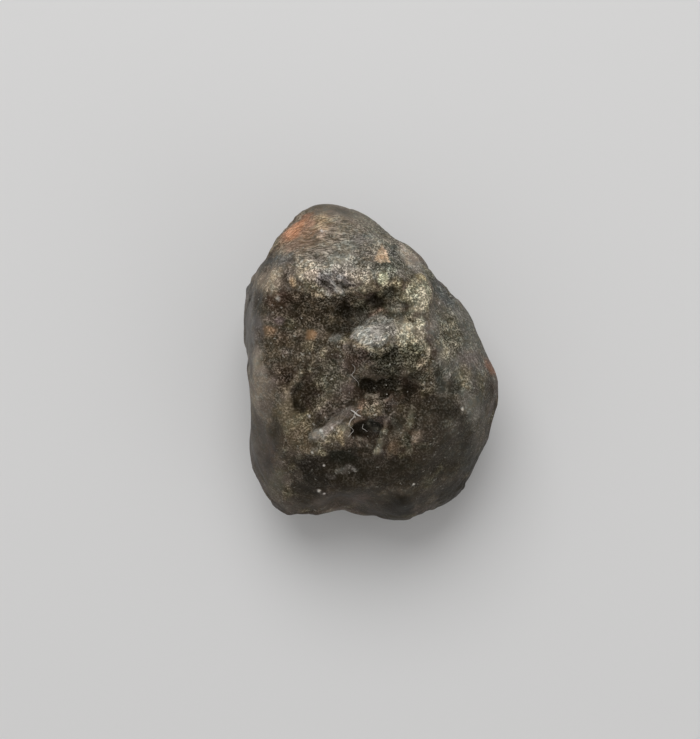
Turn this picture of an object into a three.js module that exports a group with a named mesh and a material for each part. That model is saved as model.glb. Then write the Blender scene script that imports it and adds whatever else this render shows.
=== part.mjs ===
// A small chondrite meteorite: one weathered stone, lying on a small flat spot.
// Millimetres, +Z up. The origin is on the surface it rests on, under the middle of the stone.
//
// The stone is a block of worn flats. Each flat is a plane, and the planes are blended into one
// closed surface with rounded edges. Lumps, ridges and hollows are then raised or sunk along the
// surface's own normal, and the lowest part is worn flat.

import * as THREE from "three";
import { ImprovedNoise } from "three/addons/math/ImprovedNoise.js";
import { mergeVertices } from "three/addons/utils/BufferGeometryUtils.js";

// ---- Driving dimensions, in millimetres ----
const WIDTH = 5.95; // along X
const LENGTH = 7.3; // along Y, nose to heel
const HEIGHT = 4.8; // along Z

const MIDDLE_HEIGHT = 2.3; // of the point that the flats are measured from
const EDGE_HARDNESS = 18; // 2 is a ball, 40 is a sharp-edged block
const FACE_ROWS = 21; // each of the icosahedron's 20 faces becomes (FACE_ROWS + 1) squared triangles

// ---- The block ----
// Azimuths run anticlockwise from +X, in degrees. A flank stands upright at its waist, which is
// reach away from the middle and at a height of waist above the ground. Above the waist it leans
// in by lean, and below it by undercut, in degrees from the vertical.
const FLANKS = [
  { azimuth: 105, reach: 3.9, waist: 2.6, lean: 36, undercut: 30 }, // tip of the nose
  { azimuth: 147, reach: 3.69, waist: 2.5, lean: 24, undercut: 28 }, // left shoulder
  { azimuth: 181, reach: 3.34, waist: 2.2, lean: 14, undercut: 20 }, // left side
  { azimuth: 214, reach: 4.3, waist: 1.8, lean: 32, undercut: 20 }, // left heel
  { azimuth: 269, reach: 3.8, waist: 1.6, lean: 28, undercut: 18 }, // heel
  { azimuth: 309, reach: 3.79, waist: 1.8, lean: 34, undercut: 22 }, // right heel
  { azimuth: 322, reach: 3.6, waist: 2.0, lean: 30, undercut: 24 }, // right side
  { azimuth: 349, reach: 3.18, waist: 2.2, lean: 32, undercut: 26 }, // right knob
  { azimuth: 22, reach: 2.52, waist: 2.4, lean: 32, undercut: 24 }, // right corner
  { azimuth: 42, reach: 2.48, waist: 2.5, lean: 30, undercut: 25 }, // right shoulder
  { azimuth: 68, reach: 2.84, waist: 2.6, lean: 30, undercut: 28 }, // right of the nose
];
const WAIST_BEVEL = 0.22; // how far out the leaning flats would meet without the upright one

// Single flats. Elevation is how far the flat's normal points up, in degrees, and distance is how
// far it lies from the middle.
const CROWN = [
  { azimuth: 265, elevation: 78, distance: 2.08 }, // plateau
  { azimuth: 96, elevation: 60, distance: 2.98 }, // slope to the nose
  { azimuth: 10, elevation: 55, distance: 2.62 }, // slope to the right side
  { azimuth: 277, elevation: 52, distance: 2.85 }, // slope to the heel
  { azimuth: 216, elevation: 50, distance: 3.1 }, // slope to the left heel
];
const UNDERSIDE = [
  { azimuth: 0, elevation: -90, distance: 2.72 }, // worn flat where it rests
  { azimuth: 28, elevation: -55, distance: 2.8 },
  { azimuth: 92, elevation: -50, distance: 3.2 },
  { azimuth: 150, elevation: -54, distance: 3.0 },
  { azimuth: 205, elevation: -58, distance: 3.0 },
  { azimuth: 262, elevation: -52, distance: 3.2 },
  { azimuth: 322, elevation: -55, distance: 3.0 },
];

// ---- Relief ----
// Each entry is a lump (rise above 0) or a hollow (below 0) along a line between two points.
// On the upper face the points are x and y; elsewhere they are azimuth and elevation in degrees.
const UPPER_RELIEF = [
  { from: [-2.35, 1.25], to: [0.45, 1.35], radius: 0.4, rise: 0.2 }, // crest
  { from: [-1.2, 2.75], to: [-1.2, 2.75], radius: 0.9, rise: 0.08 }, // nose dome
  { from: [1.05, 1.2], to: [1.05, 1.2], radius: 0.36, rise: 0.2 }, // knob beside the crest
  { from: [-2.1, 0.65], to: [-0.8, 0.55], radius: 0.42, rise: -0.17 }, // hollow under the crest
  { from: [-0.6, 0.7], to: [0.2, 0.85], radius: 0.3, rise: -0.24 },
  { from: [-0.35, -0.1], to: [0.65, 0.05], radius: 0.44, rise: 0.28 }, // middle ledge
  { from: [1.05, 0.15], to: [1.3, -0.55], radius: 0.38, rise: 0.16 }, // its right shoulder
  { from: [-0.1, -0.98], to: [0.85, -1.0], radius: 0.32, rise: -0.26 }, // hollow below the ledge
  { from: [-0.35, -1.45], to: [0.4, -1.42], radius: 0.27, rise: 0.2 }, // lower lump
  { from: [-0.15, -1.98], to: [-0.15, -1.98], radius: 0.28, rise: -0.25 }, // pit
  { from: [-1.35, -2.05], to: [-0.75, -1.95], radius: 0.3, rise: 0.2 }, // left lump
  { from: [-1.62, -1.32], to: [-1.62, -1.32], radius: 0.34, rise: -0.24 }, // round hollow
  { from: [-2.2, -1.3], to: [-1.9, -2.1], radius: 0.33, rise: 0.1 }, // swelling round it
  { from: [0.38, -1.5], to: [0.2, -2.35], radius: 0.16, rise: 0.12 }, // thin rib
  { from: [-0.95, -2.6], to: [-0.55, -2.55], radius: 0.28, rise: -0.12 }, // dark groove
  { from: [-0.6, -3.0], to: [-0.6, -3.0], radius: 0.3, rise: 0.1 },
  { from: [-1.9, -0.35], to: [-1.2, -0.6], radius: 0.4, rise: 0.07 }, // left swelling
  { from: [0.75, -1.85], to: [1.5, -2.1], radius: 0.42, rise: 0.1 },
  { from: [1.9, -0.3], to: [1.9, -0.3], radius: 0.45, rise: -0.06 },
];
const OUTER_RELIEF = [
  { from: [279, -22], to: [279, 8], radius: 0.45, rise: 0.2 }, // lobe of the heel
  { from: [254, -18], to: [254, 4], radius: 0.42, rise: -0.18 }, // notch beside it
  { from: [212, -14], to: [219, -4], radius: 0.4, rise: 0.12 }, // left corner of the heel
  { from: [149, -8], to: [164, -4], radius: 0.45, rise: 0.2 }, // corner of the left shoulder
  { from: [190, -12], to: [190, 8], radius: 0.45, rise: -0.1 }, // waist below it
  { from: [36, -5], to: [58, 4], radius: 0.45, rise: -0.2 }, // waist right of the nose
  { from: [80, -5], to: [80, 15], radius: 0.36, rise: -0.1 }, // flat beside the tip
];

// Thumbprints: shallow hollows all over, with soft ridges where they meet.
const THUMBPRINT_COUNT = 64;
const THUMBPRINT_DEPTH = 0.1;
const THUMBPRINT_RADIUS = 0.55;
const THUMBPRINT_STRAY = 0.7; // how far a middle strays from an even spread
const THUMBPRINT_STRAY_SIZE = 0.37;

// Irregular relief everywhere: the size of its swells and their height.
const SWELLS = [
  { size: 1.5, height: 0.08 },
  { size: 0.75, height: 0.05 },
  { size: 0.4, height: 0.025 },
];
const WANDER = 0.16; // how far the outlines of lumps and hollows stray
const WANDER_SIZE = 0.8;
// Offsets into the noise field, so that no two uses of it read the same part.
const WANDER_SHIFTS = [11.3, 37.1, 71.9];
const STRAY_SHIFTS = [3.1, 17.7, 29.3];
const SWELL_SHIFTS = [5.7, 18.8, 31.9];

const WORN_EDGE = 0.12; // height over which the resting flat turns into the side

// ---- Flats ----
const middle = new THREE.Vector3(0, 0, MIDDLE_HEIGHT);

function heading(azimuth, elevation) {
  const a = THREE.MathUtils.degToRad(azimuth);
  const e = THREE.MathUtils.degToRad(elevation);
  return new THREE.Vector3(Math.cos(a) * Math.cos(e), Math.sin(a) * Math.cos(e), Math.sin(e));
}

// A flat is held as its normal over its distance, so a point p on its plane has flat . p = 1.
function flat(azimuth, elevation, distance) {
  return heading(azimuth, elevation).divideScalar(distance);
}

// The flat that leans in by tilt and passes out away from the middle at that height.
function leaningFlat(azimuth, tilt, out, height) {
  const t = THREE.MathUtils.degToRad(tilt);
  const up = height - MIDDLE_HEIGHT;
  return flat(azimuth, tilt, out * Math.cos(t) + up * Math.sin(t));
}

function flankFlats({ azimuth, reach, waist, lean, undercut }) {
  return [
    leaningFlat(azimuth, 0, reach, waist),
    leaningFlat(azimuth, lean, reach + WAIST_BEVEL, waist),
    leaningFlat(azimuth, -undercut, reach + WAIST_BEVEL, waist),
  ];
}

const flats = [
  ...FLANKS.flatMap(flankFlats),
  ...[...CROWN, ...UNDERSIDE].map((f) => flat(f.azimuth, f.elevation, f.distance)),
];

// 1 on the blended surface, less inside and more outside. p is measured from the middle.
function blockValue(p) {
  let sum = 0;
  for (const f of flats) sum += Math.max(0, f.dot(p)) ** EDGE_HARDNESS;
  return sum ** (1 / EDGE_HARDNESS);
}

function blockNormal(p) {
  const normal = new THREE.Vector3();
  for (const f of flats) {
    normal.addScaledVector(f, Math.max(0, f.dot(p)) ** (EDGE_HARDNESS - 1));
  }
  return normal.normalize();
}

const pointAlong = (direction) => direction.clone().divideScalar(blockValue(direction));

// The point of the upper face above x, y.
function pointAbove(x, y) {
  let low = 0;
  let high = HEIGHT;
  for (let step = 0; step < 30; step++) {
    const z = (low + high) / 2;
    if (blockValue(new THREE.Vector3(x, y, z)) < 1) low = z;
    else high = z;
  }
  return new THREE.Vector3(x, y, low);
}

// ---- Relief ----
function placed(entries, place) {
  return entries.map(({ from, to, radius, rise }) => ({
    line: new THREE.Line3(place(...from), place(...to)),
    radius,
    rise,
  }));
}
const relief = [
  ...placed(UPPER_RELIEF, pointAbove),
  ...placed(OUTER_RELIEF, (azimuth, elevation) => pointAlong(heading(azimuth, elevation))),
];

const noise = new ImprovedNoise();
const noiseAt = (p, size, shift) => noise.noise(p.x / size + shift, p.y / size, p.z / size);

// p moved by up to about reach along each axis, in waves of the given size.
function strayed(p, reach, size, shifts) {
  return new THREE.Vector3(...shifts.map((shift) => noiseAt(p, size, shift)))
    .multiplyScalar(reach)
    .add(p);
}

// The middles of the thumbprints, on a spiral round the stone.
const GOLDEN_ANGLE = Math.PI * (3 - Math.sqrt(5));
const thumbprints = Array.from({ length: THUMBPRINT_COUNT }, (_, i) => {
  const up = 1 - (2 * i + 1) / THUMBPRINT_COUNT;
  const out = Math.sqrt(1 - up * up);
  const direction = new THREE.Vector3(
    Math.cos(i * GOLDEN_ANGLE) * out * WIDTH,
    Math.sin(i * GOLDEN_ANGLE) * out * LENGTH,
    up * HEIGHT,
  );
  return strayed(
    pointAlong(direction),
    THUMBPRINT_STRAY,
    THUMBPRINT_STRAY_SIZE,
    STRAY_SHIFTS,
  );
});

// -0.5 in the middle of a thumbprint, and 0.5 on the ridges between them.
function thumbprintHeight(p) {
  let sum = 1e-4; // keeps the logarithm finite far from every middle
  for (const middle of thumbprints) {
    sum += Math.exp(-((middle.distanceTo(p) / THUMBPRINT_RADIUS) ** 2));
  }
  return Math.min(1, -Math.log(sum) / 2) - 0.5;
}

function reliefHeight(p) {
  const here = strayed(p, WANDER, WANDER_SIZE, WANDER_SHIFTS);
  const nearest = new THREE.Vector3();
  let height = THUMBPRINT_DEPTH * thumbprintHeight(here);
  for (const { line, radius, rise } of relief) {
    line.closestPointToPoint(here, true, nearest);
    height += rise * Math.exp(-((nearest.distanceTo(here) / radius) ** 2));
  }
  SWELLS.forEach((swell, i) => {
    height += swell.height * noiseAt(p, swell.size, SWELL_SHIFTS[i]);
  });
  return height;
}

// Heights under 0 become 0, with a rounded turn over WORN_EDGE.
function worn(z) {
  if (z >= WORN_EDGE) return z;
  if (z <= -WORN_EDGE) return 0;
  return (z + WORN_EDGE) ** 2 / (4 * WORN_EDGE);
}

// ---- The stone ----
function stoneGeometry() {
  const ball = new THREE.IcosahedronGeometry(1, FACE_ROWS);
  ball.deleteAttribute("normal");
  ball.deleteAttribute("uv");
  const geometry = mergeVertices(ball);
  const position = geometry.getAttribute("position");
  const direction = new THREE.Vector3();
  for (let i = 0; i < position.count; i++) {
    direction.fromBufferAttribute(position, i);
    direction.set(direction.x * WIDTH, direction.y * LENGTH, direction.z * HEIGHT);
    const p = pointAlong(direction);
    p.addScaledVector(blockNormal(p), reliefHeight(p)).add(middle);
    position.setXYZ(i, p.x, p.y, worn(p.z));
  }
  geometry.computeBoundingBox();
  const size = geometry.boundingBox.getSize(new THREE.Vector3());
  const centre = geometry.boundingBox.getCenter(new THREE.Vector3());
  geometry.translate(-centre.x, -centre.y, 0);
  geometry.scale(WIDTH / size.x, LENGTH / size.y, HEIGHT / size.z);
  geometry.computeVertexNormals();
  return geometry;
}

const crust = new THREE.MeshStandardMaterial({
  name: "weathered_crust",
  color: 0x5b5348,
  roughness: 0.62,
  metalness: 0.0,
});

const meteorite = new THREE.Group();
const stone = new THREE.Mesh(stoneGeometry(), crust);
stone.name = "stone";
meteorite.add(stone);

export default meteorite;
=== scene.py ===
"""The chondrite meteorite's looks: one fine stone mesh, a few cotton fibres, floor, light and camera.

The stone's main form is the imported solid. This script refines it, adds its small relief, paints its
patches of crust, dust and rust as vertex attributes, and gives it a procedural material.
Lengths are in millimetres until a mesh is made, where no other unit is named. Pixels are those of
the 700 x 739 frame. The crust's painted colours are written as sRGB from 0 to 255, and every other
colour as linear light.
"""

import math

import bpy
import numpy as np
from mathutils import Matrix, Vector
from mathutils.bvhtree import BVHTree

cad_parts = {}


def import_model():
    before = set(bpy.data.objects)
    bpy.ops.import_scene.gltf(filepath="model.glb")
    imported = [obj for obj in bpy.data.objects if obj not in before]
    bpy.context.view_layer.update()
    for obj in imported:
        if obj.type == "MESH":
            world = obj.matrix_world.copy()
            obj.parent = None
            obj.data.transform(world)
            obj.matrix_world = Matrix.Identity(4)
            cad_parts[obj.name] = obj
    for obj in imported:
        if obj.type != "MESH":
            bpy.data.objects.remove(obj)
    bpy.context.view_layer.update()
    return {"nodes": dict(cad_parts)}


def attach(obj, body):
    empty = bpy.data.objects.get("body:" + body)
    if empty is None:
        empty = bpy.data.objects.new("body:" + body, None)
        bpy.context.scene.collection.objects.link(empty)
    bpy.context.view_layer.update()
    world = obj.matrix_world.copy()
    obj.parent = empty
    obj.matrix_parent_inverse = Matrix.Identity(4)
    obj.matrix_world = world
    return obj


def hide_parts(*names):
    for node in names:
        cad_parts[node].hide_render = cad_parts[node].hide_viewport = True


MM = 0.001

# ---- The view ----
FRAME_WIDTH = 700
FRAME_HEIGHT = 739
VIEW_AZIMUTH = 20.0
VIEW_ELEVATION = 83.0
VIEW_DISTANCE = 50.0
VIEW_MIDDLE = (0.0, 0.0, 2.4)  # the point of the stone that MIDDLE_PIXEL shows
MIDDLE_PIXEL = (370.6, 361.8)
PIXEL_SIZE = 0.0233  # one pixel's width at VIEW_DISTANCE
SENSOR = 36.0
NEAREST = 1.0
FARTHEST = 10000.0

# ---- The stone's mesh ----
SUBDIVISIONS = 2
SMOOTHING_ROUNDS = 12
SMOOTHING_STEPS = (0.6, -0.62)  # in and out again, so that broad forms stay
LEVEL_ROUNDS = 16  # the smoothing that tells what stands up from what lies deep
BOX_MARGIN = 0.03  # how near the solid's box lumps begin to be flattened
GROUND_MARGIN = 0.25  # how far over the ground the relief fades out

# ---- Relief too fine to place: height, then size across ----
SWELLS = (0.05, 0.9)
RIDGES = (0.09, 0.5)
LUMPS = (0.065, 0.28)
GRAINS = (0.02, 0.1)
SIDE_RELIEF = 0.3  # how strong this relief is on steep sides, next to level ground
STREAK_CALM = 0.6  # how much of this relief streaks take away

# ---- Ragged edges of what is painted ----
# Size of the broad and the fine waves; then for each kind how far the edge wavers in each, where
# from outside to inside the colour sets in and is full, and the same for the height. Unit is the
# half width of the patch, stroke, spot or grain, but facets and the wavering of strokes take pixels.
RAGGED_WAVES = (0.32, 0.13)
PATCH_WAVER, PATCH_COVER, PATCH_RISE = (0.4, 0.25), (1.4, 0.5), (1.5, 0.0)
FACET_WAVER, FACET_COVER, FACET_RISE = (0.8, 1.0), (1.3, -1.3), (3.0, -5.0)
STROKE_WAVER, STROKE_COVER = (1.0, 1.3), (2.0, 0.2)
SPOT_WAVER, SPOT_COVER, SPOT_RISE = (0.35, 0.2), (1.2, 0.75), (1.4, 0.2)
GRAIN_COVER = (1.3, 0.7)
STROKE_FULLNESS = 0.65  # how strong a stroke is, before gaps break it
STROKE_GAPS = (0.6, 0.36)
REACH = 2  # half widths beyond which a patch or a spot does nothing
LINE_REACH = 10  # pixels beyond which a facet or a stroke does nothing
SEEN = (-0.25, 0.05)  # how far the surface has to face the camera to take paint

# ---- Specks of dust ----
# Size across, detail and roughness of the noise, where in it they set in and are full, and for
# clumps how much dust lies between and in them.
FLECKS = (0.042, 2, 0.65, 0.45, 0.59)
FLAKES = (0.085, 2, 0.6, 0.55, 0.65)
CLUMPS = (0.16, 2, 0.5, 0.36, 0.62, 0.25, 1.2)
LINES = (0.036, 2, 0.65, 0.46, 0.6)
DRIFT = (0.13, 2, 0.6, 0.42, 0.58)
BROAD_DRIFT = (0.33, 2, 0.5, 0.45, 0.6)
CURL = 0.07
CURL_WIDTH = 0.04
CELL = 0.05
SPECK_HEIGHT = 0.012

# ---- Streaks, where a thin skin is combed ----
STREAK_STRETCH = 0.78  # how much of the specks' length along a streak is taken up
STREAK_WAVE = (0.05, 0.2)  # height and length of the waves in a streak

# ---- Light and dark of the crust ----
PROUD_HEIGHT = 0.02  # what stands up this far is lighter with dust, and what sinks this far darker with painted shade
PROUD_LIMIT = 1.6  # and up to so many times as far, more so
DUST_AND_HOLLOW_SHADE_CONTRAST = 0.42
MOTTLE_SIZE = 0.42
MOTTLE_CONTRAST = 0.42
PAINTED_SIDE_SHADE = 0.62  # painted shade: how light the sides and the underside are painted, next to the top
UPWARD = (-0.3, 0.45)  # how far up the surface faces where that painted shade ends and the top's begins
GROUND_DARKNESS = 0.88  # how much of its light the ground between grains loses
SPECK_LIGHTNESS = 2.0  # how much light the grains gain
SPECK_GREYNESS = 0.12
GLINT_FREE = 0.985  # the share of cells without a glint
SKIN_ROUGHNESS, GRIT_ROUGHNESS = 0.5, 0.75
SKIN_GLOSS, GRIT_GLOSS = 0.18, 0.06
COOL = (0.96, 1.0, 1.03, 1)
WARM = (1.05, 0.99, 0.93, 1)
PINKISH = (1.03, 0.98, 1.0, 1)
HAZE = (0.07, 0.066, 0.056)
GLINT = (0.45, 0.43, 0.38, 1)
BROWNING = (0.0016, 0.0, -0.0032)
DARKEST = (0.001, 0.0008, 0.0004)


def unit(vector):
    vector = np.asarray(vector, float)
    return vector / np.linalg.norm(vector)


def linear(shade):
    """A colour written as 0 to 255 sRGB, as linear light."""
    c = np.array(shade) / 255
    return np.where(c <= 0.04045, c / 12.92, ((c + 0.055) / 1.055) ** 2.4)


def smoothstep(low, high, x):
    t = np.clip((x - low) / (high - low), 0, 1)
    return t * t * (3 - 2 * t)


# ---- Noise ----
def hashed(cell, seed):
    """A random number from 0 to 1 for each whole-number cell. The large factors only scramble."""
    x, y, z = (cell[:, i].astype(np.uint32) for i in range(3))
    h = x * np.uint32(374761393) + y * np.uint32(668265263) + z * np.uint32(2246822519)
    h = h + np.uint32(seed * 3266489917 % 2**32)
    h = (h ^ (h >> np.uint32(13))) * np.uint32(1274126177)
    h = (h ^ (h >> np.uint32(15))) * np.uint32(2246822519)
    return (h ^ (h >> np.uint32(16))) / 2.0**32


def noise(points, size, seed):
    """Smooth noise of about -1 to 1, in waves of the given size."""
    p = points / size
    cell = np.floor(p).astype(np.int64)
    inside = p - cell
    fade = inside**3 * (inside * (inside * 6 - 15) + 10)
    total = np.zeros(len(points))
    for corner in np.ndindex(2, 2, 2):
        offset = np.array(corner)
        weight = np.prod(np.where(offset, fade, 1 - fade), axis=1)
        slope = [hashed(cell + offset, 3 * seed + i) * 2 - 1 for i in range(3)]
        total += weight * np.sum(np.stack(slope, 1) * (inside - offset), axis=1)
    return total * 1.6


def layered(points, size, seed, layers=3, fall=0.55):
    """Noise of several sizes, each half the one before."""
    total = np.zeros(len(points))
    for i in range(layers):
        total += fall**i * noise(points, size / 2**i, seed + 31 * i)
    return total


def ridged(points, size, seed, layers=3):
    """Noise from 0 to 1 with sharp crests."""
    total = np.zeros(len(points))
    for i in range(layers):
        crest = 1 - np.abs(noise(points, size / 2**i, seed + 31 * i))
        total += 0.5**i * crest**2
    return total / (2 - 0.5 ** (layers - 1))


# ---- The camera ----
class View:
    """A pinhole camera, for the scene and for finding what a pixel of the frame shows."""

    def __init__(self):
        azimuth = math.radians(VIEW_AZIMUTH)
        elevation = math.radians(VIEW_ELEVATION)
        level = math.cos(elevation)
        self.back = np.array(
            [math.sin(azimuth) * level, -math.cos(azimuth) * level, math.sin(elevation)]
        )
        self.up = unit(np.cross(self.back, (1, 0, 0)))
        self.right = np.cross(self.up, self.back)
        aside = (MIDDLE_PIXEL[0] - FRAME_WIDTH / 2) * PIXEL_SIZE
        down = (MIDDLE_PIXEL[1] - FRAME_HEIGHT / 2) * PIXEL_SIZE
        aim = np.array(VIEW_MIDDLE) - self.right * aside + self.up * down
        self.place = aim + self.back * VIEW_DISTANCE
        self.focal_pixels = VIEW_DISTANCE / PIXEL_SIZE

    def pixels(self, points):
        """Where the camera shows each point, as columns x and y in pixels."""
        away = points - self.place
        depth = -(away @ self.back)
        x = FRAME_WIDTH / 2 + (away @ self.right) / depth * self.focal_pixels
        y = FRAME_HEIGHT / 2 - (away @ self.up) / depth * self.focal_pixels
        return np.stack([x, y], 1)

    def ray(self, x, y):
        """The direction in which the camera sees a pixel."""
        across = (x - FRAME_WIDTH / 2) / self.focal_pixels
        over = (FRAME_HEIGHT / 2 - y) / self.focal_pixels
        return unit(self.right * across + self.up * over - self.back)

    def add_camera(self):
        data = bpy.data.cameras.new("camera")
        data.sensor_fit = "HORIZONTAL"
        data.sensor_width = SENSOR
        data.lens = SENSOR * self.focal_pixels / FRAME_WIDTH
        data.clip_start = NEAREST * MM
        data.clip_end = FARTHEST * MM
        camera = bpy.data.objects.new("camera", data)
        axes = np.eye(4)
        axes[:3, :3] = np.stack([self.right, self.up, self.back], 1)
        axes[:3, 3] = self.place * MM
        camera.matrix_world = Matrix(axes)
        bpy.context.scene.collection.objects.link(camera)
        bpy.context.scene.camera = camera


# ---- Triangle meshes ----
def welded(mesh):
    """A mesh's points in millimetres and its triangles, with equal points made one."""
    mesh.calc_loop_triangles()
    points = np.empty(len(mesh.vertices) * 3)
    mesh.vertices.foreach_get("co", points)
    points = points.reshape(-1, 3) / MM
    triangles = np.empty(len(mesh.loop_triangles) * 3, int)
    mesh.loop_triangles.foreach_get("vertices", triangles)
    key = np.round(points, 4)
    unique, index = np.unique(key, axis=0, return_inverse=True)
    return unique, index.reshape(-1)[triangles].reshape(-1, 3)


def edges_of(triangles):
    """Each edge once, and for each triangle the numbers of its three edges."""
    pairs = np.concatenate([triangles[:, [0, 1]], triangles[:, [1, 2]], triangles[:, [2, 0]]])
    edges, index = np.unique(np.sort(pairs, axis=1), axis=0, return_inverse=True)
    return edges, index.reshape(3, -1).T


def subdivided(points, triangles):
    """Every triangle cut in four at the middles of its edges."""
    edges, sides = edges_of(triangles)
    middles = sides + len(points)
    points = np.concatenate([points, points[edges].mean(axis=1)])
    a, b, c = triangles.T
    ab, bc, ca = middles.T
    corners = [(a, ab, ca), (b, bc, ab), (c, ca, bc), (ab, bc, ca)]
    return points, np.concatenate([np.stack(corner, 1) for corner in corners])


def neighbour_mean(values, edges):
    """The mean of each point's neighbours."""
    total = np.zeros_like(values)
    count = np.zeros(len(values))
    for near, far in (edges.T, edges.T[::-1]):
        np.add.at(total, near, values[far])
        np.add.at(count, near, 1)
    return total / count.reshape(-1, *[1] * (values.ndim - 1))


def smoothed(values, edges, rounds, steps):
    """Values drawn towards their neighbours, in steps taken in turn."""
    for _ in range(rounds):
        for step in steps:
            values = values + step * (neighbour_mean(values, edges) - values)
    return values


def normals_of(points, triangles):
    a, b, c = (points[triangles[:, i]] for i in range(3))
    faces = np.cross(b - a, c - a)
    total = np.zeros_like(points)
    for i in range(3):
        np.add.at(total, triangles[:, i], faces)
    return total / np.linalg.norm(total, axis=1, keepdims=True)


# ---- What the frame's pixels show ----
# The crust's own colours.
BLACK = (26, 22, 18)
SOOT_GREEN = (40, 44, 36)
UMBER = (60, 50, 42)
RED_BROWN = (70, 50, 40)
MAUVE = (98, 88, 84)
OLIVE = (112, 106, 84)
KHAKI = (126, 118, 94)
YELLOW = (160, 152, 112)
CREAM = (168, 160, 136)
TAN = (134, 118, 98)
OCHRE = (102, 91, 66)
GREY = (120, 116, 108)
GREEN_GREY = (108, 108, 100)
SLATE = (84, 88, 88)
PALE_GREY = (156, 155, 148)
RUST = (184, 116, 82)
ORANGE = (150, 110, 76)
PEACH = (204, 170, 134)

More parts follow.
